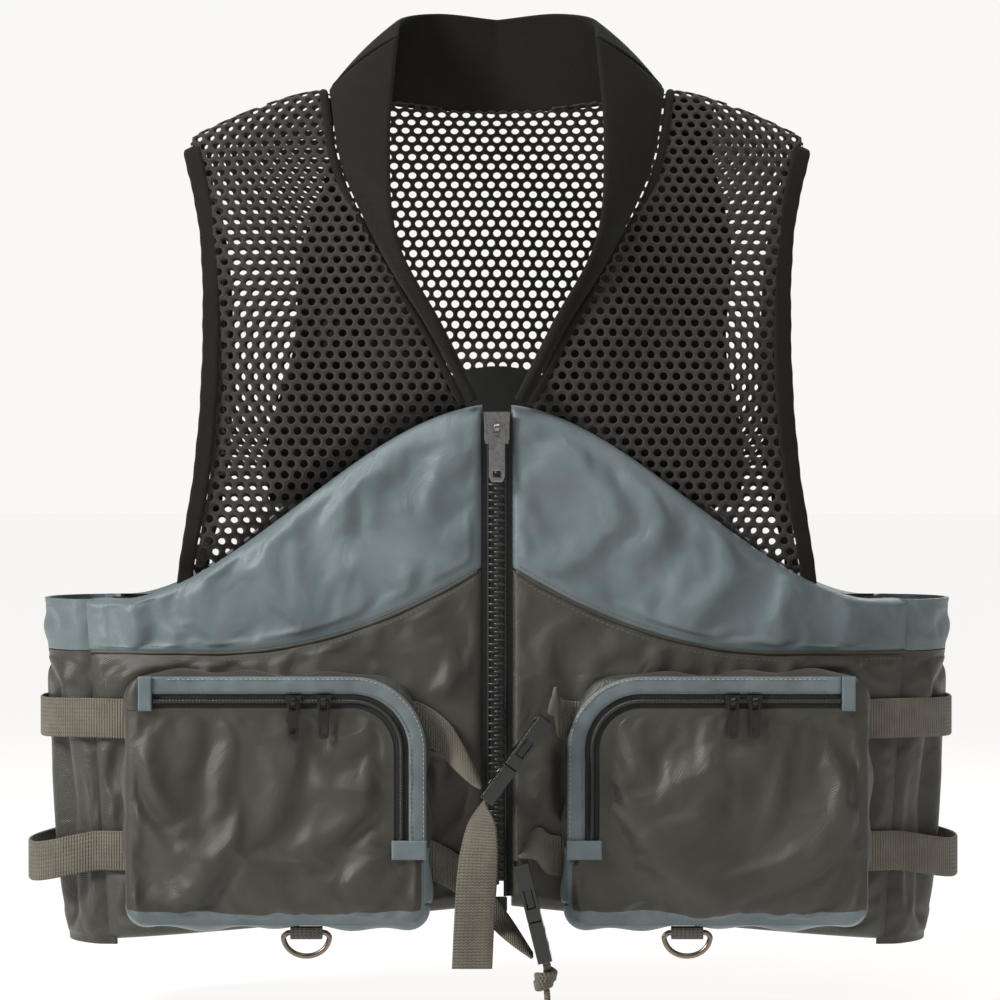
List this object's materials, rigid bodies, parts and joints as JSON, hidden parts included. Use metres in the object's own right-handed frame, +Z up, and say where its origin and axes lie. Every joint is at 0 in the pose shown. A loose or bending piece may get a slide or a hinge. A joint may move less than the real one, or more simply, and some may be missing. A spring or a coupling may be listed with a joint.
{
  "type": "fishing vest",
  "caption": "Foam flotation fishing vest with a mesh top, zipped front, zipped cargo pockets, webbing straps with side-release buckles and hanging D-rings.",
  "frame": {"origin": "centre plane of the vest, level with the shoulder seams, where a hanger carries the shoulders from inside", "axes": "+X towards the wearer's left, -Y out of the front, +Z up the wearer's body; the vest hangs with its length along Z"},
  "size_m": [0.5856, 0.2257, 0.6288],
  "materials": {
    "grey_nylon": "plain-weave nylon, olive grey",
    "blue_nylon": "plain-weave nylon, blue grey",
    "foam": "closed-cell flotation foam",
    "lining_nylon": "dark woven lining",
    "brown_mesh": "round-hole knitted mesh",
    "black_knit": "double knit and folded binding",
    "webbing": "one inch woven webbing",
    "black_plastic": "moulded acetal",
    "zip_black": "moulded teeth on woven tape",
    "gunmetal": "plated die casting",
    "bronze_metal": "dark plated wire"
  },
  "bodies": {
    "root": {"front_cover_left": "grey_nylon", "front_cover_right": "grey_nylon", "yoke_band_left": "blue_nylon", "yoke_band_right": "blue_nylon", "front_foam_left": "foam", "front_foam_right": "foam", "front_lining_left": "lining_nylon", "front_lining_right": "lining_nylon", "side_panel_left": "grey_nylon", "side_panel_right": "grey_nylon", "back_cover": "grey_nylon", "back_band": "blue_nylon", "back_foam": "foam", "back_lining": "lining_nylon", "front_mesh_left": "brown_mesh", "front_mesh_right": "brown_mesh", "back_mesh": "brown_mesh", "armhole_binding_left": "black_knit", "armhole_binding_right": "black_knit", "neck_piping_left": "black_knit", "neck_piping_right": "black_knit", "neck_facing_left": "black_knit", "neck_facing_right": "black_knit", "collar": "black_knit", "zip_half_left": "zip_black", "zip_half_right": "zip_black", "zip_box": "zip_black", "pocket_gusset_left": "grey_nylon", "pocket_gusset_right": "grey_nylon", "pocket_front_left": "grey_nylon", "pocket_front_right": "grey_nylon", "pocket_trim_left": "blue_nylon", "pocket_trim_right": "blue_nylon", "pocket_zip_left": "zip_black", "pocket_zip_right": "zip_black", "d_ring_tab_left": "webbing", "d_ring_tab_right": "webbing", "upper_buckle_socket": "black_plastic", "lower_buckle_socket": "black_plastic", "upper_strap_left": "webbing", "lower_strap_left": "webbing", "upper_strap_right": "webbing", "lower_strap_right": "webbing"},
    "zip_slider": {"zip_slider": "gunmetal"},
    "zip_pull": {"zip_pull": "gunmetal"},
    "pocket_left_outer_slider": {"pocket_left_outer_slider": "gunmetal"},
    "pocket_left_outer_pull": {"pocket_left_outer_pull": "gunmetal"},
    "pocket_left_inner_slider": {"pocket_left_inner_slider": "gunmetal"},
    "pocket_left_inner_pull": {"pocket_left_inner_pull": "gunmetal"},
    "pocket_right_outer_slider": {"pocket_right_outer_slider": "gunmetal"},
    "pocket_right_outer_pull": {"pocket_right_outer_pull": "gunmetal"},
    "pocket_right_inner_slider": {"pocket_right_inner_slider": "gunmetal"},
    "pocket_right_inner_pull": {"pocket_right_inner_pull": "gunmetal"},
    "d_ring_left": {"d_ring_left": "bronze_metal"},
    "d_ring_right": {"d_ring_right": "bronze_metal"},
    "upper_buckle_plug": {"upper_buckle_plug": "black_plastic", "upper_strap_tail": "webbing"},
    "lower_buckle_plug": {"lower_buckle_plug": "black_plastic", "lower_strap_knot": "webbing"}
  },
  "joints": [
    {"name": "zip_slide", "type": "slide", "parent": "root", "child": "zip_slider", "axis": [0, 0, -1], "range_m": [0, 0.25]},
    {"name": "zip_pull_swing", "type": "hinge", "parent": "zip_slider", "child": "zip_pull", "pos_m": [0, -0.0938, -0.214], "axis": [-1, 0, 0], "range_deg": [0, 170]},
    {"name": "pocket_left_outer_slide", "type": "slide", "parent": "root", "child": "pocket_left_outer_slider", "axis": [1, 0, 0], "range_m": [0, 0.049]},
    {"name": "pocket_left_outer_pull_swing", "type": "hinge", "parent": "pocket_left_outer_slider", "child": "pocket_left_outer_pull", "pos_m": [0.16056, -0.1103, -0.3844], "axis": [-1, 0, 0], "range_deg": [0, 150]},
    {"name": "pocket_left_inner_slide", "type": "slide", "parent": "root", "child": "pocket_left_inner_slider", "axis": [-1, 0, 0], "range_m": [0, 0.051]},
    {"name": "pocket_left_inner_pull_swing", "type": "hinge", "parent": "pocket_left_inner_slider", "child": "pocket_left_inner_pull", "pos_m": [0.1467, -0.1103, -0.3844], "axis": [-1, 0, 0], "range_deg": [0, 150]},
    {"name": "pocket_right_outer_slide", "type": "slide", "parent": "root", "child": "pocket_right_outer_slider", "axis": [-1, 0, 0], "range_m": [0, 0.083]},
    {"name": "pocket_right_outer_pull_swing", "type": "hinge", "parent": "pocket_right_outer_slider", "child": "pocket_right_outer_pull", "pos_m": [-0.12654, -0.1103, -0.3844], "axis": [-1, 0, 0], "range_deg": [0, 150]},
    {"name": "pocket_right_inner_slide", "type": "slide", "parent": "root", "child": "pocket_right_inner_slider", "axis": [1, 0, 0], "range_m": [0, 0.012]},
    {"name": "pocket_right_inner_pull_swing", "type": "hinge", "parent": "pocket_right_inner_slider", "child": "pocket_right_inner_pull", "pos_m": [-0.10764, -0.1103, -0.3844], "axis": [-1, 0, 0], "range_deg": [0, 150]},
    {"name": "d_ring_left_swing", "type": "hinge", "parent": "root", "child": "d_ring_left", "pos_m": [0.119, -0.097, -0.5297], "axis": [-1, 0, 0], "range_deg": [-85, 85]},
    {"name": "d_ring_right_swing", "type": "hinge", "parent": "root", "child": "d_ring_right", "pos_m": [-0.119, -0.097, -0.5297], "axis": [-1, 0, 0], "range_deg": [-85, 85]},
    {"name": "upper_buckle_release", "type": "slide", "parent": "root", "child": "upper_buckle_plug", "axis": [-0.5878, 0, -0.809], "range_m": [0, 0.03]},
    {"name": "lower_buckle_release", "type": "slide", "parent": "root", "child": "lower_buckle_plug", "axis": [0.2419, 0, -0.9703], "range_m": [0, 0.03]}
  ]
}
